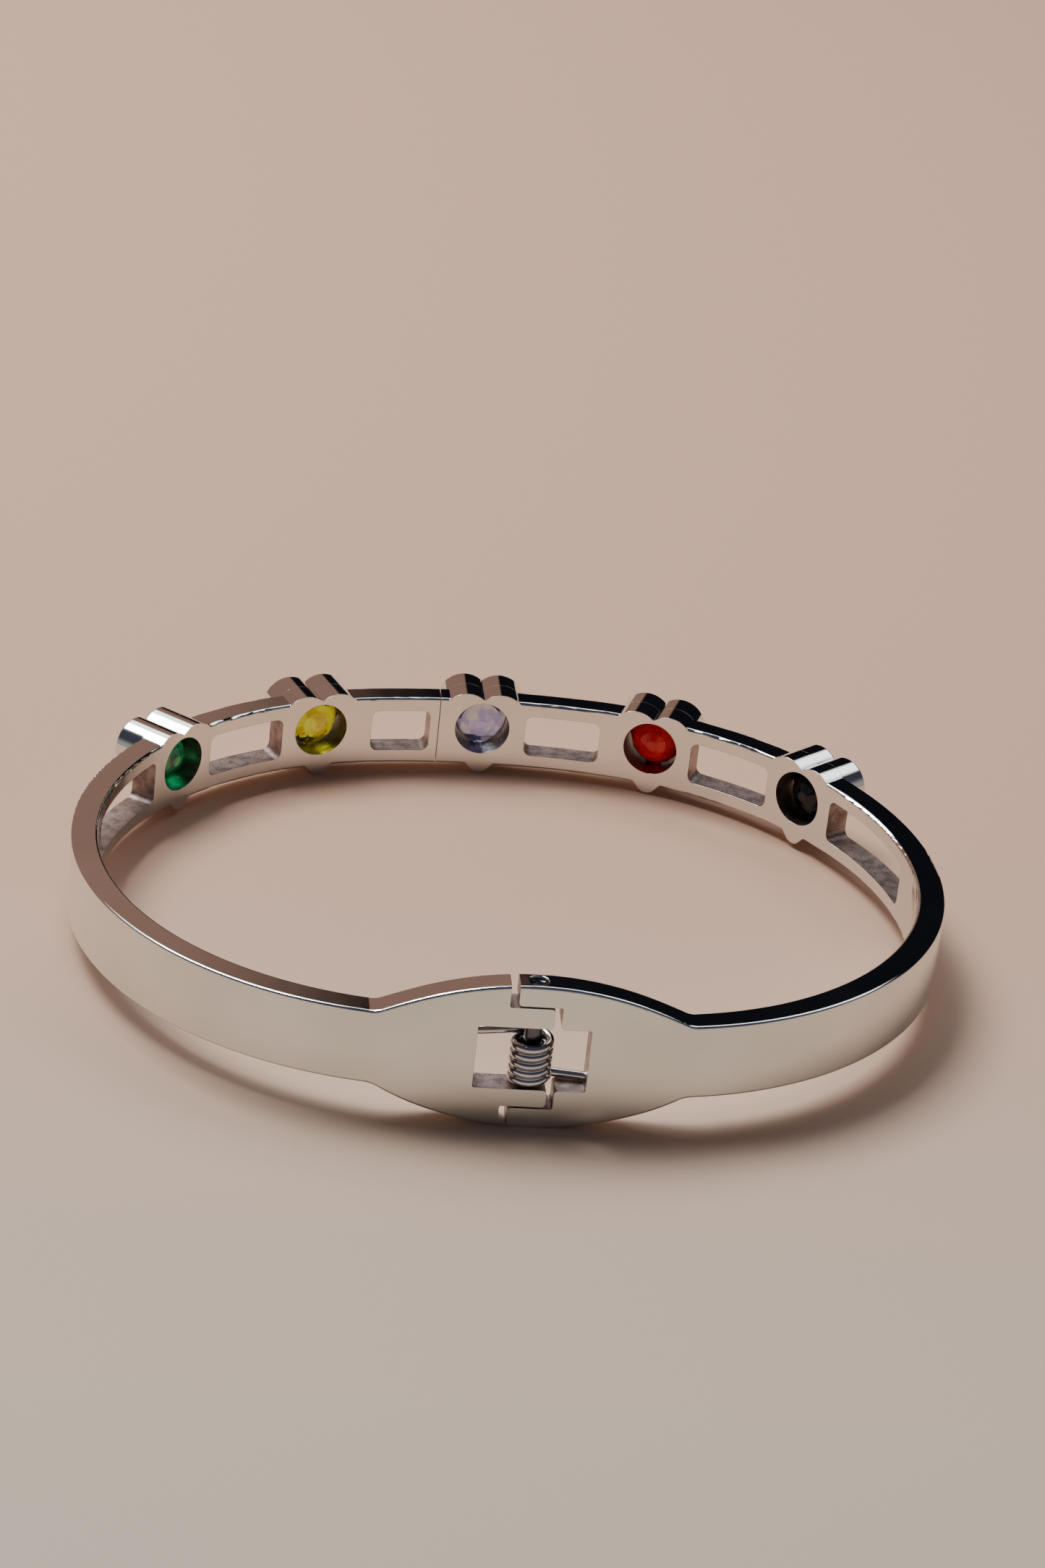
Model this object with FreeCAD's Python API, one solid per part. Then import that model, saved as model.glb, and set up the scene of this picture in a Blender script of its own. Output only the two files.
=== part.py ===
import FreeCAD, Part
import math
import os

# Hinged heart bangle, millimetres, +Z up.
# The origin is the middle of the wrist opening, halfway up the band.
# The hinge is at -Y, the five heart settings face +Y, and the half with the joint's motion is at -X.

Vector = FreeCAD.Vector

# Band: two side arcs meet a shallow middle arc at the settings, and a nearly straight one at the hinge.
HALF_WIDTH = 32.0
HINGE_DEPTH = 25.0
HINGE_FLAT_RADIUS = 400.0
SETTINGS_DEPTH = 28.2
SETTINGS_FLAT_RADIUS = 52.0
BAND_THICKNESS = 2.0
BAND_HEIGHT = 5.6
BAND_EDGE_ROUND = 0.2

# Leaf-shaped flare at the hinge.
FLARE_HEIGHT = 11.0
FLARE_HALF_LENGTH = 10.8
WAIST_ROUND = 2.0

# Slots between the settings, given by the direction their end walls face, in degrees from +Y.
SLOT_HEIGHT = 3.4
SLOT_CORNER = 0.6
SLOT_ENDS = [(-82.0, -57.0), (-42.6, -27.3), (-10.7, -5.0), (3.7, 10.9), (27.3, 42.6), (57.0, 82.0)]

# Meeting ends of the two halves, beside the clear heart.
SPLIT_X = -3.65
SPLIT_GAP = 0.05

# Hinge knuckles and window. The right half has the outer knuckles, the left half the inner ones.
OUTER_KNUCKLE_END = 1.3
OUTER_KNUCKLE_GAP = 0.6
INNER_KNUCKLE_END = 1.25
INNER_KNUCKLE_GAP = 0.5
WINDOW_HALF_LENGTH = 3.9
WINDOW_TOP = 2.3
WINDOW_BOTTOM = -2.5
INNER_KNUCKLE_TOP = 3.85
KNUCKLE_LAYER_GAP = 0.12
KNUCKLE_CORNER = 0.3

# Hinge pin, pressed into chamfered holes.
PIN_RADIUS = 0.65
PIN_CLEARANCE = 0.05
PIN_HALF_LENGTH = 5.1
PIN_DOME = 0.25
PIN_HOLE_CHAMFER = 0.08

# Torsion spring.
WIRE_RADIUS = 0.31
COIL_RADIUS = 1.22
COIL_TURNS = 5
COIL_PITCH = 0.64
COIL_BOTTOM = -2.1
LEG_TILT = 9.3
LEG_REACH = 4.7
LEG_HOLE_CLEARANCE = 0.03

# Heart settings, given by the direction they face, in degrees from +Y towards +X.
SETTING_DIRECTIONS = {"green": -49.4, "yellow": -20.0, "clear": -0.22, "red": 20.0, "black": 49.4}
LEFT_SETTINGS = ["green", "yellow"]
HEART_HALF_WIDTH = 3.4
HEART_TOP = 3.3
HEART_POINT = -3.85
HEART_TIP_RADIUS = 0.8
LOBE_RADIUS = 2.04
LOBE_TANGENT_ANGLE = 30.0
SETTING_DEPTH = 2.0
SETTING_RIM_ROUND = 0.2
BACK_HOLE_RADIUS = 2.15
BACK_HOLE_Z = 0.35

# Heart-cut stones, as scales of the setting's outline and distances out from the band's face.
GIRDLE_SCALE = 0.79
POCKET_SCALE = 0.80
PAVILION_SCALE = 0.60
BORE_SCALE = 0.64
CULET_SCALE = 0.12
TABLE_SCALE = 0.50
GIRDLE_BOTTOM = 0.9
GIRDLE_TOP = 1.35
TABLE_LEVEL = 2.3
CULET_LEVEL = -1.5

# Sizes worked out from the ones above.
CUT_MARGIN = 2.0
TALL_HALF_HEIGHT = FLARE_HEIGHT / 2 + CUT_MARGIN
PLAN_REACH = HALF_WIDTH + 8.0
HINGE_Y = -HINGE_DEPTH + BAND_THICKNESS / 2
LOBE_CENTRE_X = HEART_HALF_WIDTH - LOBE_RADIUS
LOBE_CENTRE_Z = HEART_TOP - LOBE_RADIUS
COIL_TOP = COIL_BOTTOM + COIL_TURNS * COIL_PITCH


def side_radius(depth, flat_radius):
    """Radius of the side arcs that join the middle arc to the widest level."""
    return (2 * flat_radius * depth - HALF_WIDTH**2 - depth**2) / (2 * (flat_radius - HALF_WIDTH))


def half_outline(depth, flat_radius, facing, offset):
    """Edges of half the oval, from +X to -X; facing is +1 for the settings, -1 for the hinge."""
    radius = side_radius(depth, flat_radius) + offset
    centre_x = HALF_WIDTH + offset - radius
    meet = math.atan2(flat_radius - depth, centre_x)

    def side_point(side, angle):
        return Vector(side * (centre_x + radius * math.cos(angle)), facing * radius * math.sin(angle), 0)

    middle = Vector(0, facing * (depth + offset), 0)
    right = Part.Arc(side_point(1, 0), side_point(1, meet / 2), side_point(1, meet))
    flat = Part.Arc(side_point(1, meet), middle, side_point(-1, meet))
    left = Part.Arc(side_point(-1, meet), side_point(-1, meet / 2), side_point(-1, 0))
    return [right.toShape(), flat.toShape(), left.toShape()]


def oval_solid(offset, half_height):
    """The band's outline, offset outwards, filled and extruded about mid-height."""
    settings_side = half_outline(SETTINGS_DEPTH, SETTINGS_FLAT_RADIUS, 1, offset)
    hinge_side = half_outline(HINGE_DEPTH, HINGE_FLAT_RADIUS, -1, offset)
    face = Part.Face(Part.Wire(Part.__sortEdges__(settings_side + hinge_side)))
    face.translate(Vector(0, 0, -half_height))
    return face.extrude(Vector(0, 0, 2 * half_height))


def settings_placement(direction):
    """Frame on the band's outer face: X along the band, Y outwards, Z up."""
    radius = side_radius(SETTINGS_DEPTH, SETTINGS_FLAT_RADIUS)
    centre_x = HALF_WIDTH - radius
    flat_reach = math.degrees(math.atan2(centre_x, SETTINGS_FLAT_RADIUS - SETTINGS_DEPTH))
    turn = math.radians(direction)
    outward = Vector(math.sin(turn), math.cos(turn), 0)
    if abs(direction) <= flat_reach:
        point = Vector(0, SETTINGS_DEPTH - SETTINGS_FLAT_RADIUS, 0) + outward * SETTINGS_FLAT_RADIUS
    else:
        point = Vector(math.copysign(centre_x, direction), 0, 0) + outward * radius
    return FreeCAD.Placement(point, FreeCAD.Rotation(Vector(0, 0, 1), -direction))


def elevation_prism(corners, near_y, far_y):
    """Prism along Y from (x, z, corner radius) points, with its corners rounded by arcs."""
    edges = []
    starts = []
    count = len(corners)
    for index, (x, z, radius) in enumerate(corners):
        here = Vector(x, near_y, z)
        before = Vector(corners[index - 1][0], near_y, corners[index - 1][1])
        after = Vector(corners[(index + 1) % count][0], near_y, corners[(index + 1) % count][1])
        to_before = (before - here).normalize()
        to_after = (after - here).normalize()
        first = here + to_before * radius
        last = here + to_after * radius
        if radius > 0:
            bulge = here + (to_before + to_after) * (radius * (1 - math.sqrt(0.5)))
            edges.append(Part.Arc(first, bulge, last).toShape())
        starts.append((first, last))
    for index in range(count):
        edges.append(Part.makeLine(starts[index - 1][1], starts[index][0]))
    face = Part.Face(Part.Wire(Part.__sortEdges__(edges)))
    return face.extrude(Vector(0, far_y - near_y, 0))


def flare_prism():
    """Leaf shape where two large discs cross, seen along Y, at the hinge."""
    rise = (FLARE_HEIGHT - BAND_HEIGHT) / 2
    radius = (FLARE_HALF_LENGTH**2 + rise**2) / (2 * rise)
    drop = radius - FLARE_HEIGHT / 2
    start_y = -HINGE_DEPTH - CUT_MARGIN
    length = HINGE_DEPTH / 2
    upper = Part.makeCylinder(radius, length, Vector(0, start_y, -drop), Vector(0, 1, 0))
    lower = Part.makeCylinder(radius, length, Vector(0, start_y, drop), Vector(0, 1, 0))
    return upper.common(lower)


def band_ring():
    """The closed ring before it is cut into halves, with its long edges rounded."""
    tall = oval_solid(0, TALL_HALF_HEIGHT).cut(oval_solid(-BAND_THICKNESS, TALL_HALF_HEIGHT))
    slab = Part.makeBox(2 * PLAN_REACH, 2 * PLAN_REACH, BAND_HEIGHT,
                        Vector(-PLAN_REACH, -PLAN_REACH, -BAND_HEIGHT / 2))
    ring = tall.common(slab.fuse(flare_prism())).removeSplitter()
    across = 1.2 * BAND_THICKNESS
    waists = [edge for edge in ring.Edges
              if abs(abs(edge.CenterOfMass.x) - FLARE_HALF_LENGTH) < 0.01 and edge.Length < across]
    ring = ring.makeFillet(WAIST_ROUND, waists)
    rims = [edge for edge in ring.Edges
            if abs(edge.CenterOfMass.z) > BAND_HEIGHT / 2 - 0.01 and edge.Length > across]
    return ring.makeFillet(BAND_EDGE_ROUND, rims)


def slot_cutter(start, end):
    """Cutter for one slot, between two walls square to the band."""
    reach = BAND_THICKNESS + CUT_MARGIN
    points = []
    for direction, out in [(start, CUT_MARGIN), (start, -reach), (end, -reach), (end, CUT_MARGIN)]:
        points.append(settings_placement(direction).multVec(Vector(0, out, -SLOT_HEIGHT / 2)))
    face = Part.Face(Part.makePolygon(points + points[:1]))
    block = face.extrude(Vector(0, 0, SLOT_HEIGHT))
    wall_length = reach + CUT_MARGIN
    corners = [edge for edge in block.Edges if abs(edge.Length - wall_length) < 0.001]
    return block.makeFillet(SLOT_CORNER, corners)


def knuckle_corners(side, band_end, knuckle_end, wall, layer_edge, outer_knuckles):
    """Elevation outline of one half's hinge end; side is -1 for the left half."""

    def upward(window_edge):
        if outer_knuckles:
            stepped = [(side * wall, window_edge, KNUCKLE_CORNER),
                       (side * wall, layer_edge, KNUCKLE_CORNER / 2),
                       (-side * knuckle_end, layer_edge, KNUCKLE_CORNER),
                       (-side * knuckle_end, TALL_HALF_HEIGHT, 0)]
        else:
            stepped = [(-side * knuckle_end, window_edge, KNUCKLE_CORNER),
                       (-side * knuckle_end, layer_edge, KNUCKLE_CORNER),
                       (side * wall, layer_edge, KNUCKLE_CORNER / 2),
                       (side * wall, TALL_HALF_HEIGHT, 0)]
        window_corner = (side * band_end, window_edge, KNUCKLE_CORNER / 2)
        return [window_corner] + stepped + [(side * PLAN_REACH, TALL_HALF_HEIGHT, 0)]

    downward = [(x, -z, radius) for x, z, radius in reversed(upward(-WINDOW_BOTTOM))]
    return upward(WINDOW_TOP) + downward


def heart_outline(scale, level):
    """Heart wire in the plane Y = level, scaled about the middle of the back hole."""
    height = LOBE_CENTRE_Z - HEART_POINT
    turn = math.radians(LOBE_TANGENT_ANGLE)
    spare = LOBE_CENTRE_X**2 + height**2 - LOBE_RADIUS**2
    slack = LOBE_RADIUS + LOBE_CENTRE_X * math.cos(turn) - height * math.sin(turn)
    shift = spare / (2 * slack)
    side_centre = Vector(LOBE_CENTRE_X - shift * math.cos(turn), 0, LOBE_CENTRE_Z + shift * math.sin(turn))
    side_curve = LOBE_RADIUS + shift
    tip_drop = math.sqrt((side_curve - HEART_TIP_RADIUS) ** 2 - side_centre.x**2)
    tip_centre = Vector(0, 0, side_centre.z - tip_drop)
    tip_angle = math.atan2(-tip_drop, -side_centre.x)
    cleft_rise = math.sqrt(LOBE_RADIUS**2 - LOBE_CENTRE_X**2)
    cleft_angle = math.atan2(cleft_rise, -LOBE_CENTRE_X)
    lobe_centre = Vector(LOBE_CENTRE_X, 0, LOBE_CENTRE_Z)

    def place(side, centre, radius, angle):
        x = side * (centre.x + radius * math.cos(angle)) * scale
        z = BACK_HOLE_Z + (centre.z + radius * math.sin(angle) - BACK_HOLE_Z) * scale
        return Vector(x, level, z)

    def arc(side, centre, radius, start, end):
        points = [place(side, centre, radius, angle) for angle in (start, (start + end) / 2, end)]
        return Part.Arc(*points).toShape()

    edges = []
    for side in (1, -1):
        edges.append(arc(side, lobe_centre, LOBE_RADIUS, cleft_angle, -turn))
        edges.append(arc(side, side_centre, side_curve, -turn, tip_angle))
        edges.append(arc(side, tip_centre, HEART_TIP_RADIUS, tip_angle, -math.pi / 2))
    return Part.Wire(Part.__sortEdges__(edges))


def heart_prism(scale, start, end):
    """Heart-shaped bar along local Y."""
    face = Part.Face(heart_outline(scale, start))
    return face.extrude(Vector(0, end - start, 0))


def heart_taper(first_scale, first_level, last_scale, last_level):
    """Solid whose heart section changes evenly between two levels."""
    wires = [heart_outline(first_scale, first_level), heart_outline(last_scale, last_level)]
    return Part.makeLoft(wires, True, True)


def placed(shape, direction):
    """Copy of a shape drawn in a setting's own frame, moved onto the band."""
    copy = shape.copy()
    copy.Placement = settings_placement(direction).multiply(copy.Placement)
    return copy


def leg_line(side, level):
    """Start point and direction of a spring leg; side is -1 for the left leg."""
    tilt = math.radians(LEG_TILT)
    start = Vector(side * COIL_RADIUS * math.sin(tilt), HINGE_Y + COIL_RADIUS * math.cos(tilt), level)
    return start, Vector(side * math.cos(tilt), -math.sin(tilt), 0)


def leg_hole(side, level):
    """Blind hole in a window end wall for the tip of a spring leg."""
    start, direction = leg_line(side, level)
    length = LEG_REACH + 2 * LEG_HOLE_CLEARANCE
    return Part.makeCylinder(WIRE_RADIUS + LEG_HOLE_CLEARANCE, length, start, direction)


def hinge_bore(radius, low, high):
    return Part.makeCylinder(radius, high - low, Vector(0, HINGE_Y, low))


def pin_hole_chamfer(side):
    """Cone that breaks the rim of the pin's hole; side is 1 at the top."""
    height = PIN_HOLE_CHAMFER + CUT_MARGIN
    base = Vector(0, HINGE_Y, side * (FLARE_HEIGHT / 2 - PIN_HOLE_CHAMFER))
    return Part.makeCone(PIN_RADIUS, PIN_RADIUS + height, height, base, Vector(0, 0, side))


def right_half_band(ring, plates):
    wall = INNER_KNUCKLE_END + INNER_KNUCKLE_GAP
    layer_edge = INNER_KNUCKLE_TOP + KNUCKLE_LAYER_GAP
    profile = knuckle_corners(1, WINDOW_HALF_LENGTH, OUTER_KNUCKLE_END, wall, layer_edge, True)
    hinge_side = elevation_prism(profile, -PLAN_REACH, 0)
    start_x = SPLIT_X + SPLIT_GAP / 2
    settings_side = Part.makeBox(PLAN_REACH - start_x, PLAN_REACH, 2 * TALL_HALF_HEIGHT,
                                 Vector(start_x, 0, -TALL_HALF_HEIGHT))
    half = ring.common(hinge_side.fuse(settings_side))
    for name, plate in plates.items():
        if name not in LEFT_SETTINGS:
            half = half.fuse(plate)
    half = half.cut(hinge_bore(PIN_RADIUS, -TALL_HALF_HEIGHT, TALL_HALF_HEIGHT))
    half = half.cut(pin_hole_chamfer(1)).cut(pin_hole_chamfer(-1))
    half = half.cut(leg_hole(1, COIL_BOTTOM))
    return finish_half(half, [name for name in plates if name not in LEFT_SETTINGS])


def left_half_band(ring, plates):
    wall = OUTER_KNUCKLE_END + OUTER_KNUCKLE_GAP
    profile = knuckle_corners(-1, WINDOW_HALF_LENGTH, INNER_KNUCKLE_END, wall, INNER_KNUCKLE_TOP, False)
    hinge_side = elevation_prism(profile, -PLAN_REACH, 0)
    end_x = SPLIT_X - SPLIT_GAP / 2
    settings_side = Part.makeBox(PLAN_REACH + end_x, PLAN_REACH, 2 * TALL_HALF_HEIGHT,
                                 Vector(-PLAN_REACH, 0, -TALL_HALF_HEIGHT))
    half = ring.common(hinge_side.fuse(settings_side))
    for name in LEFT_SETTINGS:
        half = half.fuse(plates[name])
    half = half.cut(hinge_bore(PIN_RADIUS + PIN_CLEARANCE, -TALL_HALF_HEIGHT, TALL_HALF_HEIGHT))
    half = half.cut(leg_hole(-1, COIL_TOP))
    return finish_half(half, LEFT_SETTINGS)


def finish_half(half, settings):
    """Cuts the slots, and the round hole behind each stone."""
    for start, end in SLOT_ENDS:
        half = half.cut(slot_cutter(start, end))
    reach = BAND_THICKNESS + CUT_MARGIN
    start = Vector(0, -reach, BACK_HOLE_Z)
    hole = Part.makeCylinder(BACK_HOLE_RADIUS, reach + CUT_MARGIN, start, Vector(0, 1, 0))
    for name in settings:
        half = half.cut(placed(hole, SETTING_DIRECTIONS[name]))
    return half.removeSplitter()


def setting(direction, outer_solid):
    """Heart cup that sits face to face on the band, with a pocket and a bore for the stone."""
    cup = heart_prism(1.0, -CUT_MARGIN / 2, SETTING_DEPTH)
    rim = [edge for edge in cup.Edges if abs(edge.CenterOfMass.y - SETTING_DEPTH) < 0.001]
    cup = cup.makeFillet(SETTING_RIM_ROUND, rim)
    cup = cup.cut(heart_prism(POCKET_SCALE, GIRDLE_BOTTOM, SETTING_DEPTH + CUT_MARGIN))
    cup = cup.cut(heart_prism(BORE_SCALE, -CUT_MARGIN, SETTING_DEPTH))
    return placed(cup, direction).cut(outer_solid)


def stone(direction):
    """Heart-cut stone: pavilion towards the wrist, girdle on the ledge, crown and table outside."""
    pavilion = heart_taper(PAVILION_SCALE, GIRDLE_BOTTOM, CULET_SCALE, CULET_LEVEL)
    girdle = heart_prism(GIRDLE_SCALE, GIRDLE_BOTTOM, GIRDLE_TOP)
    crown = heart_taper(GIRDLE_SCALE, GIRDLE_TOP, TABLE_SCALE, TABLE_LEVEL)
    return placed(pavilion.fuse(girdle).fuse(crown).removeSplitter(), direction)


def hinge_pin():
    pin = hinge_bore(PIN_RADIUS, -PIN_HALF_LENGTH, PIN_HALF_LENGTH)
    ends = [edge for edge in pin.Edges if abs(abs(edge.CenterOfMass.z) - PIN_HALF_LENGTH) < 0.001]
    return pin.makeFillet(PIN_DOME, ends)


def torsion_spring():
    """Close-wound coil around the pin, with a straight leg to each half."""
    step = 15
    sweep = COIL_TURNS * 360 + 2 * LEG_TILT
    steps = round(sweep / step)
    left_start, left_direction = leg_line(-1, COIL_TOP)
    right_start, right_direction = leg_line(1, COIL_BOTTOM)
    points = [left_start + left_direction * (LEG_REACH * share) for share in (1, 2 / 3, 1 / 3)]
    for index in range(steps + 1):
        share = index / steps
        angle = math.radians(90 + LEG_TILT - sweep * share)
        points.append(Vector(COIL_RADIUS * math.cos(angle), HINGE_Y + COIL_RADIUS * math.sin(angle),
                             COIL_TOP + (COIL_BOTTOM - COIL_TOP) * share))
    points.extend(right_start + right_direction * (LEG_REACH * share) for share in (1 / 3, 2 / 3, 1))
    path = Part.BSplineCurve()
    path.interpolate(points)
    section = Part.Wire(Part.makeCircle(WIRE_RADIUS, points[0], left_direction))
    return Part.Wire(path.toShape()).makePipeShell([section], True, True)


def main():
    os.makedirs("parts", exist_ok=True)
    ring = band_ring()
    outer_solid = oval_solid(0, TALL_HALF_HEIGHT)
    tall_ring = outer_solid.cut(oval_solid(-BAND_THICKNESS, TALL_HALF_HEIGHT))
    plate = heart_prism(1.0, -BAND_THICKNESS - CUT_MARGIN, CUT_MARGIN)
    plates = {}
    for name, direction in SETTING_DIRECTIONS.items():
        plates[name] = placed(plate, direction).common(tall_ring)
    nodes = {
        "right_half_band": right_half_band(ring, plates),
        "left_half_band": left_half_band(ring, plates),
        "hinge_pin": hinge_pin(),
        "torsion_spring": torsion_spring(),
    }
    for name, direction in SETTING_DIRECTIONS.items():
        nodes[name + "_setting"] = setting(direction, outer_solid)
        nodes[name + "_stone"] = stone(direction)
    for name, shape in nodes.items():
        box = shape.BoundBox
        print(name, shape.ShapeType, shape.isValid(), len(shape.Solids), round(shape.Volume, 2),
              [round(value, 2) for value in (box.XMin, box.XMax, box.YMin, box.YMax, box.ZMin, box.ZMax)])
        shape.exportStep("parts/" + name + ".step")


main()
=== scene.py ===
import math

import bmesh
import bpy
from mathutils import Matrix, Vector


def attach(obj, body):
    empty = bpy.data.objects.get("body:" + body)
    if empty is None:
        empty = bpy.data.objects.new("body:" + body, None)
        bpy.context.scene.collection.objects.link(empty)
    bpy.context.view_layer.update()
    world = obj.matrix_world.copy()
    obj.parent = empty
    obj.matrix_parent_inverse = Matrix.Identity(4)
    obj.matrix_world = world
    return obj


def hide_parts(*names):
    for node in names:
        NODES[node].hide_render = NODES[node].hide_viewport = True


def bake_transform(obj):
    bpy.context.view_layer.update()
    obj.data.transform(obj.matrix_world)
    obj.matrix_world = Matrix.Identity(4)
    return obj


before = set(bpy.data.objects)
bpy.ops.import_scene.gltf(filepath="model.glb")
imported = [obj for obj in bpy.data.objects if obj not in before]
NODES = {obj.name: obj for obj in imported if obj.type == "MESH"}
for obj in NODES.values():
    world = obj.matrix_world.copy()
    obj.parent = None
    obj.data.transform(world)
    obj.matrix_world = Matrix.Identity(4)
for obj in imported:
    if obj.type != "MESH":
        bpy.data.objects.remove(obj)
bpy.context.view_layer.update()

MM = 0.001

# Camera: its direction and distance from the middle of the wrist opening, the point beside that middle
# that it aims at, in metres, and its lens, in millimetres.
VIEW_AZIMUTH = math.radians(-6.89)
VIEW_ELEVATION = math.radians(25.82)
VIEW_ROLL = math.radians(6.25)
VIEW_DISTANCE = 0.30738
VIEW_AIM = (0.001137, 0.007571)
FOCAL_LENGTH = 96.31
SENSOR_WIDTH = 36
CLIP_NEAR = 0.01
CLIP_FAR = 10

# Band and hinge, in millimetres, as the CAD model has them.
HALF_WIDTH = 32.0
SETTINGS_DEPTH = 28.2
SETTINGS_FLAT_RADIUS = 52.0
HINGE_Y = -24.0
FLARE_HALF_HEIGHT = 5.5

# How the cut walls of the band are told from its polished faces: by place, in millimetres, and by the
# cosine between a face's normal and a direction.
SLOT_WALL_LIMIT_Z = 2.58
HINGE_CUT_HALF_LENGTH = 4.9
KNUCKLE_FACE_LIMIT_Z = 4.4
BROAD_FACE_COSINE = 0.6
END_WALL_COSINE = 0.7
POLISH_INDEX = 0
CUT_INDEX = 1

# Torsion spring, in millimetres. Each leg ends 0.05 mm short of the CAD leg, inside its blind hole.
WIRE_RADIUS = 0.31
COIL_RADIUS = 1.22
COIL_TURNS = 5
COIL_PITCH = 0.64
COIL_BOTTOM = -2.1
COIL_TOP = COIL_BOTTOM + COIL_TURNS * COIL_PITCH
LEG_TILT = math.radians(9.3)
LEG_REACH = 4.65
COIL_STEPS_PER_TURN = 96
LEG_STEPS = 12
WIRE_SIDES = 32

# Heart-cut stones, in millimetres, in the frame of their setting. Each direction is in degrees from +Y.
# The heart's sides would meet at its point, and its tip is rounded above that.
SETTING_DIRECTIONS = {"green": -49.4, "yellow": -20.0, "clear": -0.22, "red": 20.0, "black": 49.4}
LEFT_SETTINGS = ("green", "yellow")
HEART_HALF_WIDTH = 3.4
HEART_TOP = 3.3
HEART_POINT = -3.85
HEART_TIP_RADIUS = 0.8
LOBE_RADIUS = 2.04
LOBE_TANGENT_ANGLE = math.radians(30.0)
HEART_CENTRE_Z = 0.35
LOBE_FACETS = 6
SIDE_FACETS = 3
TIP_FACETS = 1

# Metals: the radius of a broken edge, in millimetres, and the two colours that each metal varies between.
EDGE_BREAK = 0.06
EDGE_SAMPLES = 4
POLISHED_COLOURS = ((0.77, 0.80, 0.77), (0.84, 0.86, 0.835))
CUT_COLOURS = ((0.34, 0.27, 0.25), (0.17, 0.13, 0.12))
SPRING_COLOURS = ((0.62, 0.63, 0.66), (0.78, 0.78, 0.78))
# The pin's two colours are kept far darker than steel, as painted shade for the dark inside of the coil.
PIN_PAINTED_SHADE_COLOURS = ((0.10, 0.105, 0.12), (0.17, 0.17, 0.19))

# Stones: the two colours that each varies between, how much light it lets through, its index, its coat.
STONE_LOOKS = {
    "green": dict(light=(0.02, 0.70, 0.24), dark=(0.0, 0.20, 0.08), through=0.85, index=1.62, coat=0.5),
    "yellow": dict(light=(0.72, 0.95, 0.04), dark=(0.52, 0.40, 0.02), through=0.9, index=1.62, coat=0.5),
    # The clear stone's pale blue and lavender zones are partly its own colour zoning and partly painted
    # flashes from its coating.
    "clear": dict(light=(0.84, 0.95, 1.0), dark=(0.40, 0.38, 1.0), through=0.8, index=1.7, coat=0.5),
    "red": dict(light=(0.95, 0.01, 0.004), dark=(0.72, 0.0, 0.003), through=0.3, index=1.5, coat=0.2),
    "black": dict(light=(0.008, 0.01, 0.022), dark=(0.002, 0.002, 0.005), through=0.0, index=1.4, coat=0.0),
}
COAT_ROUGHNESS = 0.01
CLEAR_FILM_THICKNESS_NM = 420
CLEAR_FILM_INDEX = 1.9

# Facet rings of a stone: size, level out from the band's face, and True where a ring has the outline's own
# points and False where its points are midway. Crown and seat rings are hearts, and their size is a scale.
# The back fills the round hole, so its rings are circles, and their size is a radius.
CROWN_RINGS = [(0.79, 0.9, True), (0.79, 1.35, True), (0.67, 1.95, False), (0.50, 2.28, True)]
SEAT_RINGS = [(0.79, 0.9, True), (0.60, 0.9, True), (0.57, 0.02, True)]
BACK_RINGS = [(2.05, -0.04, True), (1.62, -0.75, False), (1.05, -1.2, True), (0.40, -1.47, False)]

# Floor: half its width and the Y range of its change of colour, in metres, and the low points of the
# clear heart and of the hinge that the bangle rests on, in millimetres.
FLOOR_HALF_SIZE = 1.5
FLOOR_FRONT = (0.57, 0.47, 0.375)
FLOOR_BACK = (0.64, 0.40, 0.285)
FLOOR_CHANGE = (-0.075, 0.03)
FLOOR_ROUGHNESS = 0.7
HEART_LOW_Y = 29.3
HEART_LOW_Z = -3.42
HINGE_LOW_Y = -25.0

# Studio: its colours, and where one changes to the next, as a range of one part of a direction.
WARM_CARD = (0.28, 0.16, 0.125)
DARK_CARD = (0.006, 0.006, 0.009)
SOFTBOX = (2.6, 2.6, 2.65)
CEILING = (0.05, 0.05, 0.075)
SURROUND = (0.34, 0.32, 0.30)
BACK_FROM_Y = (0.1, 0.4)
DARK_CARD_FROM_X = (0.02, 0.09)
SOFTBOX_FROM_Z = (0.60, 0.68)
BACK_CEILING_FROM_Z = (0.84, 0.90)
FRONT_CEILING_FROM_Z = (0.12, 0.42)

# Key light: its power in watts, its side and place in metres, and its colour.
KEY_POWER = 4.6
KEY_SIZE = 0.30
KEY_PLACE = Vector((-0.24, 0.20, 0.58))
KEY_COLOUR = (1.0, 0.98, 0.95)


# ---------------------------------------------------------------- camera
def make_camera():
    azimuth_cos, azimuth_sin = math.cos(VIEW_AZIMUTH), math.sin(VIEW_AZIMUTH)
    level = math.cos(VIEW_ELEVATION)
    back = Vector((azimuth_sin * level, -azimuth_cos * level, math.sin(VIEW_ELEVATION)))
    level_right = Vector((azimuth_cos, azimuth_sin, 0))
    level_up = back.cross(level_right)
    right = math.cos(VIEW_ROLL) * level_right + math.sin(VIEW_ROLL) * level_up
    up = back.cross(right)
    data = bpy.data.cameras.new("camera")
    data.sensor_width = SENSOR_WIDTH
    data.lens = FOCAL_LENGTH
    data.clip_start = CLIP_NEAR
    data.clip_end = CLIP_FAR
    camera = bpy.data.objects.new("camera", data)
    bpy.context.scene.collection.objects.link(camera)
    place = VIEW_AIM[0] * right + VIEW_AIM[1] * up + VIEW_DISTANCE * back
    turn = Matrix((right, up, back)).transposed().to_4x4()
    camera.matrix_world = Matrix.Translation(place) @ turn
    bpy.context.scene.camera = camera


# ---------------------------------------------------------------- material helpers
def new_material(name):
    material = bpy.data.materials.new(name)
    material.use_nodes = True
    return material, material.node_tree, material.node_tree.nodes["Principled BSDF"]


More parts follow.
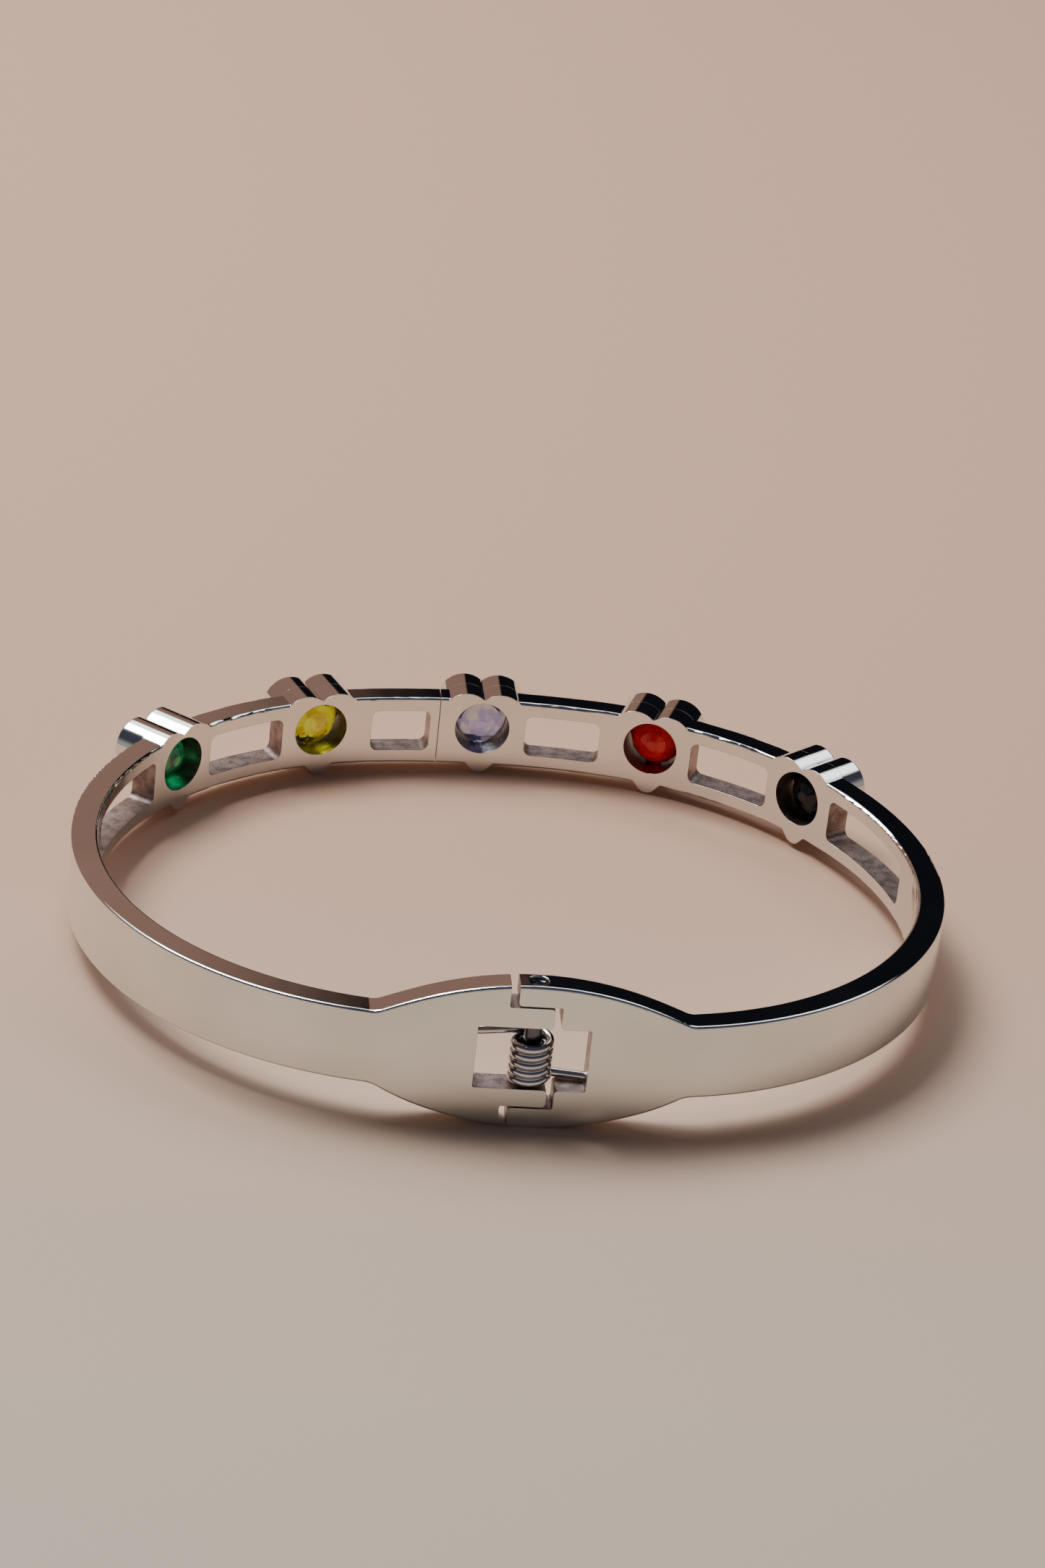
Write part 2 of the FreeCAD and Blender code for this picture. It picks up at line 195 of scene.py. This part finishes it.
def add_noise(tree, size_mm, detail, roughness=0.5, stretch=(1, 1, 1)):
    """Noise in the object's own space; size_mm is about the width of one blotch."""
    coords = tree.nodes.new("ShaderNodeTexCoord")
    mapping = tree.nodes.new("ShaderNodeMapping")
    mapping.inputs["Scale"].default_value = stretch
    noise = tree.nodes.new("ShaderNodeTexNoise")
    noise.inputs["Scale"].default_value = 1 / (size_mm * MM)
    noise.inputs["Detail"].default_value = detail
    noise.inputs["Roughness"].default_value = roughness
    tree.links.new(coords.outputs["Object"], mapping.inputs["Vector"])
    tree.links.new(mapping.outputs["Vector"], noise.inputs["Vector"])
    return noise.outputs["Fac"]


def add_range(tree, value, low, high, to_low=0.0, to_high=1.0):
    """Smooth change from to_low to to_high as a value goes from low to high."""
    node = tree.nodes.new("ShaderNodeMapRange")
    node.interpolation_type = "SMOOTHSTEP"
    node.inputs["From Min"].default_value = low
    node.inputs["From Max"].default_value = high
    node.inputs["To Min"].default_value = to_low
    node.inputs["To Max"].default_value = to_high
    tree.links.new(value, node.inputs["Value"])
    return node.outputs["Result"]


def add_mix(tree, factor, first, second):
    """Mix of two colours, each a plain colour or another node's output."""
    node = tree.nodes.new("ShaderNodeMix")
    node.data_type = "RGBA"
    tree.links.new(factor, node.inputs["Factor"])
    for socket, colour in (("A", first), ("B", second)):
        target = [entry for entry in node.inputs if entry.name == socket and entry.type == "RGBA"][0]
        if isinstance(colour, tuple):
            target.default_value = (*colour, 1)
        else:
            tree.links.new(colour, target)
    return [entry for entry in node.outputs if entry.type == "RGBA"][0]


def add_bump(tree, height, depth_mm, strength, under=None):
    """Bump of a real depth; under is a normal that it adds to."""
    bump = tree.nodes.new("ShaderNodeBump")
    bump.inputs["Distance"].default_value = depth_mm * MM
    bump.inputs["Strength"].default_value = strength
    tree.links.new(height, bump.inputs["Height"])
    if under is not None:
        tree.links.new(under, bump.inputs["Normal"])
    return bump.outputs["Normal"]


def add_soft_edges(tree, radius_mm):
    """Normal that breaks the sharp edges by a real radius."""
    bevel = tree.nodes.new("ShaderNodeBevel")
    bevel.samples = EDGE_SAMPLES
    bevel.inputs["Radius"].default_value = radius_mm * MM
    return bevel.outputs["Normal"]


# ---------------------------------------------------------------- metals
def finish_metal(tree, shader, colour, roughness, normal):
    tree.links.new(colour, shader.inputs["Base Color"])
    tree.links.new(roughness, shader.inputs["Roughness"])
    tree.links.new(normal, shader.inputs["Normal"])
    shader.inputs["Metallic"].default_value = 1


def polished_steel(name, soft_edges):
    """Mirror polish with a faint waviness, hairline scratches and a trace of haze."""
    material, tree, shader = new_material(name)
    haze = add_noise(tree, size_mm=7.0, detail=3)
    hairlines = add_noise(tree, size_mm=0.10, detail=2, roughness=0.6, stretch=(0.10, 0.10, 1.0))
    waves = add_noise(tree, size_mm=2.6, detail=1)
    patches = add_range(tree, haze, low=0.3, high=0.7)
    roughness = add_range(tree, haze, low=0.35, high=0.75, to_low=0.035, to_high=0.085)
    edges = add_soft_edges(tree, EDGE_BREAK) if soft_edges else None
    slow = add_bump(tree, waves, depth_mm=0.02, strength=0.35, under=edges)
    fine = add_bump(tree, hairlines, depth_mm=0.0006, strength=0.5, under=slow)
    finish_metal(tree, shader, add_mix(tree, patches, *POLISHED_COLOURS), roughness, fine)
    return material


def cut_steel():
    """Walls left by cutting: dark, grainy, and stained a little brown."""
    material, tree, shader = new_material("cut_steel")
    grain = add_noise(tree, size_mm=0.07, detail=3, roughness=0.7)
    stain = add_noise(tree, size_mm=0.8, detail=3)
    patches = add_range(tree, stain, low=0.35, high=0.7)
    roughness = add_range(tree, grain, low=0.3, high=0.75, to_low=0.22, to_high=0.5)
    edges = add_soft_edges(tree, EDGE_BREAK)
    rough = add_bump(tree, grain, depth_mm=0.03, strength=0.8, under=edges)
    finish_metal(tree, shader, add_mix(tree, patches, *CUT_COLOURS), roughness, rough)
    return material


def spring_steel():
    """Drawn wire: bright, a little darker than the band, with fine lines around the coil."""
    material, tree, shader = new_material("spring_steel")
    lines = add_noise(tree, size_mm=0.05, detail=2, roughness=0.6, stretch=(0.15, 0.15, 1.0))
    tint = add_noise(tree, size_mm=1.1, detail=2)
    patches = add_range(tree, tint, low=0.3, high=0.7)
    roughness = add_range(tree, lines, low=0.3, high=0.7, to_low=0.02, to_high=0.06)
    fine = add_bump(tree, lines, depth_mm=0.001, strength=0.6)
    finish_metal(tree, shader, add_mix(tree, patches, *SPRING_COLOURS), roughness, fine)
    return material


def pin_steel():
    """Ground pin: satin, with fine rings around it, and both its colours darkened as painted shade for the
    dark inside of the coil.
    """
    material, tree, shader = new_material("pin_steel")
    rings = add_noise(tree, size_mm=0.04, detail=2, roughness=0.6, stretch=(0.05, 0.05, 1.0))
    bands = add_range(tree, rings, low=0.3, high=0.7)
    roughness = add_range(tree, rings, low=0.3, high=0.7, to_low=0.14, to_high=0.28)
    grooves = add_bump(tree, rings, depth_mm=0.0015, strength=0.7)
    # The ring bands mix between the two darkened colours, which are painted shade.
    finish_metal(tree, shader, add_mix(tree, bands, *PIN_PAINTED_SHADE_COLOURS), roughness, grooves)
    return material


# ---------------------------------------------------------------- stone materials
def stone_material(name, light, dark, through, index, coat):
    """Cut glass with soft colour zones and a trace of polishing haze; on the clear stone the zones are also
    painted flashes from its coating.
    """
    material, tree, shader = new_material(name + "_stone")
    zones = add_range(tree, add_noise(tree, size_mm=1.3, detail=1), low=0.44, high=0.56)
    haze = add_noise(tree, size_mm=0.3, detail=2)
    roughness = add_range(tree, haze, low=0.4, high=0.8, to_low=0.0, to_high=0.05)
    tree.links.new(add_mix(tree, zones, light, dark), shader.inputs["Base Color"])
    tree.links.new(roughness, shader.inputs["Roughness"])
    shader.inputs["Transmission Weight"].default_value = through
    shader.inputs["IOR"].default_value = index
    shader.inputs["Coat Weight"].default_value = coat
    shader.inputs["Coat Roughness"].default_value = COAT_ROUGHNESS
    if name == "clear":
        shader.inputs["Thin Film Thickness"].default_value = CLEAR_FILM_THICKNESS_NM
        shader.inputs["Thin Film IOR"].default_value = CLEAR_FILM_INDEX
    return material


# ---------------------------------------------------------------- band and settings
def settings_frame(direction):
    """Matrix of a setting's frame, in metres: X along the band, Y outwards, Z up."""
    rise = 2 * SETTINGS_FLAT_RADIUS * SETTINGS_DEPTH - HALF_WIDTH**2 - SETTINGS_DEPTH**2
    radius = rise / (2 * (SETTINGS_FLAT_RADIUS - HALF_WIDTH))
    centre_x = HALF_WIDTH - radius
    flat_reach = math.degrees(math.atan2(centre_x, SETTINGS_FLAT_RADIUS - SETTINGS_DEPTH))
    turn = math.radians(direction)
    outward = Vector((math.sin(turn), math.cos(turn), 0))
    if abs(direction) <= flat_reach:
        point = Vector((0, SETTINGS_DEPTH - SETTINGS_FLAT_RADIUS, 0)) + outward * SETTINGS_FLAT_RADIUS
    else:
        point = Vector((math.copysign(centre_x, direction), 0, 0)) + outward * radius
    return Matrix.Translation(point * MM) @ Matrix.Rotation(-turn, 4, "Z")


def is_cut_wall(centre, normal):
    """Whether a face of a band, at a centre in millimetres, is a wall of a slot, hole, window or gap."""
    if centre.y > 0:
        radial = Vector((centre.x, centre.y, 0)).normalized()
        return abs(centre.z) < SLOT_WALL_LIMIT_Z and abs(normal.dot(radial)) < BROAD_FACE_COSINE
    if abs(centre.x) > HINGE_CUT_HALF_LENGTH or abs(normal.y) > BROAD_FACE_COSINE:
        return False
    return abs(normal.x) > END_WALL_COSINE or abs(centre.z) < KNUCKLE_FACE_LIMIT_Z


def dress_band(node, polish, cut):
    mesh = node.data
    mesh.materials.clear()
    mesh.materials.append(polish)
    mesh.materials.append(cut)
    for face in mesh.polygons:
        is_cut = is_cut_wall(face.center / MM, face.normal)
        face.material_index = CUT_INDEX if is_cut else POLISH_INDEX


def dress(node, material):
    node.data.materials.clear()
    node.data.materials.append(material)


# ---------------------------------------------------------------- new pieces
def finish_piece(shape, name, material, smooth):
    mesh = bpy.data.meshes.new(name)
    shape.to_mesh(mesh)
    shape.free()
    mesh.materials.append(material)
    for face in mesh.polygons:
        face.use_smooth = smooth
    piece = bpy.data.objects.new(name, mesh)
    bpy.context.scene.collection.objects.link(piece)
    return piece


# ---------------------------------------------------------------- torsion spring
def spring_path():
    """Centre line of the wire, in millimetres, from the left leg's tip to the right leg's tip."""
    def leg(side, level):
        start_x = side * COIL_RADIUS * math.sin(LEG_TILT)
        start_y = HINGE_Y + COIL_RADIUS * math.cos(LEG_TILT)
        start = Vector((start_x, start_y, level))
        along = Vector((side * math.cos(LEG_TILT), -math.sin(LEG_TILT), 0))
        return [start + along * (LEG_REACH * step / LEG_STEPS) for step in range(1, LEG_STEPS + 1)]

    points = list(reversed(leg(-1, COIL_TOP)))
    sweep = COIL_TURNS * 2 * math.pi + 2 * LEG_TILT
    steps = round(COIL_STEPS_PER_TURN * sweep / (2 * math.pi))
    for index in range(steps + 1):
        share = index / steps
        angle = math.pi / 2 + LEG_TILT - sweep * share
        x = COIL_RADIUS * math.cos(angle)
        y = HINGE_Y + COIL_RADIUS * math.sin(angle)
        z = COIL_TOP + (COIL_BOTTOM - COIL_TOP) * share
        points.append(Vector((x, y, z)))
    return points + leg(1, COIL_BOTTOM)


def make_spring(material):
    shape = bmesh.new()
    path = spring_path()
    rings = []
    for index, point in enumerate(path):
        before = path[max(index - 1, 0)]
        after = path[min(index + 1, len(path) - 1)]
        along = (after - before).normalized()
        across = along.cross(Vector((0, 0, 1))).normalized()
        upward = across.cross(along)
        ring = []
        for side in range(WIRE_SIDES):
            angle = 2 * math.pi * side / WIRE_SIDES
            offset = across * math.cos(angle) + upward * math.sin(angle)
            ring.append(shape.verts.new((point + offset * WIRE_RADIUS) * MM))
        rings.append(ring)
    for first, second in zip(rings, rings[1:]):
        for side in range(WIRE_SIDES):
            other = (side + 1) % WIRE_SIDES
            shape.faces.new((first[side], first[other], second[other], second[side]))
    shape.faces.new(rings[0])
    shape.faces.new(reversed(rings[-1]))
    bmesh.ops.recalc_face_normals(shape, faces=shape.faces)
    spring = finish_piece(shape, "spring_wire", material, True)
    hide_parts("torsion_spring")
    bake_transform(spring)


# ---------------------------------------------------------------- stones
def heart_points():
    """Points round the heart from the cleft, down the right side and up the left, in millimetres."""
    lobe_x = HEART_HALF_WIDTH - LOBE_RADIUS
    lobe_z = HEART_TOP - LOBE_RADIUS
    height = lobe_z - HEART_POINT
    turn = LOBE_TANGENT_ANGLE
    spare = lobe_x**2 + height**2 - LOBE_RADIUS**2
    shift = spare / (2 * (LOBE_RADIUS + lobe_x * math.cos(turn) - height * math.sin(turn)))
    side_x = lobe_x - shift * math.cos(turn)
    side_z = lobe_z + shift * math.sin(turn)
    side_radius = LOBE_RADIUS + shift
    tip_drop = math.sqrt((side_radius - HEART_TIP_RADIUS) ** 2 - side_x**2)
    tip_angle = math.atan2(-tip_drop, -side_x)
    cleft_angle = math.atan2(math.sqrt(LOBE_RADIUS**2 - lobe_x**2), -lobe_x)
    arcs = [(lobe_x, lobe_z, LOBE_RADIUS, cleft_angle, -turn, LOBE_FACETS),
            (side_x, side_z, side_radius, -turn, tip_angle, SIDE_FACETS),
            (0, side_z - tip_drop, HEART_TIP_RADIUS, tip_angle, -math.pi / 2, TIP_FACETS)]
    right = []
    for x, z, radius, start, end, count in arcs:
        for step in range(count):
            angle = start + (end - start) * step / count
            right.append((x + radius * math.cos(angle), z + radius * math.sin(angle)))
    last_x, last_z, last_radius = arcs[-1][:3]
    tip = (last_x, last_z - last_radius)
    left = [(-x, z) for x, z in reversed(right[1:])]
    return right + [tip] + left


def ring_points(outline, size, level, own, circle):
    """One facet ring, a heart or a circle; a ring without the outline's own points has those midway."""
    points = []
    for index, (x, z) in enumerate(outline):
        if not own:
            next_x, next_z = outline[(index + 1) % len(outline)]
            x, z = (x + next_x) / 2, (z + next_z) / 2
        arm = Vector((x, 0, z - HEART_CENTRE_Z))
        arm = arm.normalized() * size if circle else arm * size
        points.append((arm + Vector((0, level, HEART_CENTRE_Z))) * MM)
    return points


def join_rings(shape, first, second, first_own, second_own):
    count = len(first)
    for index in range(count):
        after = (index + 1) % count
        if first_own == second_own:
            shape.faces.new((first[index], first[after], second[after], second[index]))
        elif first_own:
            shape.faces.new((first[index], first[after], second[index]))
            shape.faces.new((first[after], second[after], second[index]))
        else:
            shape.faces.new((first[index], second[after], second[index]))
            shape.faces.new((first[index], first[after], second[after]))


def make_stone(name, direction, material):
    """Heart-cut stone: a faceted crown round the table, a girdle on its seat, and a faceted round back."""
    shape = bmesh.new()
    outline = heart_points()
    below = [(*ring, False) for ring in SEAT_RINGS] + [(*ring, True) for ring in BACK_RINGS]
    above = [(*ring, False) for ring in CROWN_RINGS]
    girdle = [shape.verts.new(point) for point in ring_points(outline, *above[0])]
    for rings in (above, below):
        last, last_own = girdle, True
        for size, level, own, circle in rings[1:]:
            ring = [shape.verts.new(point) for point in ring_points(outline, size, level, own, circle)]
            join_rings(shape, last, ring, last_own, own)
            last, last_own = ring, own
        shape.faces.new(last)
    bmesh.ops.recalc_face_normals(shape, faces=shape.faces)
    bmesh.ops.transform(shape, matrix=settings_frame(direction), verts=shape.verts)
    stone = finish_piece(shape, name + "_cut_stone", material, False)
    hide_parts(name + "_stone")
    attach(stone, "left_half" if name in LEFT_SETTINGS else "right_half")


# ---------------------------------------------------------------- floor and light
def make_floor():
    """Pale floor under the flare and the clear heart, the two places that the bangle rests on."""
    slope = (HEART_LOW_Z + FLARE_HALF_HEIGHT) / (HEART_LOW_Y - HINGE_LOW_Y)
    middle = (-FLARE_HALF_HEIGHT - slope * HINGE_LOW_Y) * MM
    corners = []
    for x, y in ((-1, -1), (1, -1), (1, 1), (-1, 1)):
        corners.append((x * FLOOR_HALF_SIZE, y * FLOOR_HALF_SIZE, middle + y * FLOOR_HALF_SIZE * slope))
    mesh = bpy.data.meshes.new("floor")
    mesh.from_pydata(corners, [], [(0, 1, 2, 3)])
    floor = bpy.data.objects.new("floor", mesh)
    bpy.context.scene.collection.objects.link(floor)
    material, tree, shader = new_material("floor")
    coords = tree.nodes.new("ShaderNodeTexCoord")
    split = tree.nodes.new("ShaderNodeSeparateXYZ")
    tree.links.new(coords.outputs["Object"], split.inputs["Vector"])
    blend = add_range(tree, split.outputs["Y"], *FLOOR_CHANGE)
    tree.links.new(add_mix(tree, blend, FLOOR_FRONT, FLOOR_BACK), shader.inputs["Base Color"])
    shader.inputs["Roughness"].default_value = FLOOR_ROUGHNESS
    mesh.materials.append(material)


def make_world():
    """Studio by direction: a warm card and a dark one behind, a softbox above both, and a dark ceiling."""
    world = bpy.data.worlds.new("studio")
    bpy.context.scene.world = world
    world.use_nodes = True
    tree = world.node_tree
    coords = tree.nodes.new("ShaderNodeTexCoord")
    split = tree.nodes.new("ShaderNodeSeparateXYZ")
    tree.links.new(coords.outputs["Generated"], split.inputs["Vector"])
    x, y, z = (split.outputs[axis] for axis in "XYZ")
    cards = add_mix(tree, add_range(tree, x, *DARK_CARD_FROM_X), WARM_CARD, DARK_CARD)
    softbox = add_mix(tree, add_range(tree, z, *SOFTBOX_FROM_Z), cards, SOFTBOX)
    back_side = add_mix(tree, add_range(tree, z, *BACK_CEILING_FROM_Z), softbox, CEILING)
    front_side = add_mix(tree, add_range(tree, z, *FRONT_CEILING_FROM_Z), SURROUND, CEILING)
    studio = add_mix(tree, add_range(tree, y, *BACK_FROM_Y), front_side, back_side)
    tree.links.new(studio, tree.nodes["Background"].inputs["Color"])


def make_key_light():
    """Soft light from behind and to the left, so that the shadow falls towards the hinge."""
    light = bpy.data.lights.new("key", "AREA")
    light.energy = KEY_POWER
    light.size = KEY_SIZE
    light.color = KEY_COLOUR
    key = bpy.data.objects.new("key", light)
    key.location = KEY_PLACE
    key.rotation_euler = (-KEY_PLACE).to_track_quat("-Z", "Y").to_euler()
    bpy.context.scene.collection.objects.link(key)


# ---------------------------------------------------------------- making
make_camera()
band_polish = polished_steel("polished_steel", True)
setting_polish = polished_steel("setting_steel", False)
cut = cut_steel()
for band in ("right_half_band", "left_half_band"):
    dress_band(NODES[band], band_polish, cut)
dress(NODES["hinge_pin"], pin_steel())
make_spring(spring_steel())
for name, direction in SETTING_DIRECTIONS.items():
    dress(NODES[name + "_setting"], setting_polish)
    make_stone(name, direction, stone_material(name, **STONE_LOOKS[name]))
make_floor()
make_world()
make_key_light()
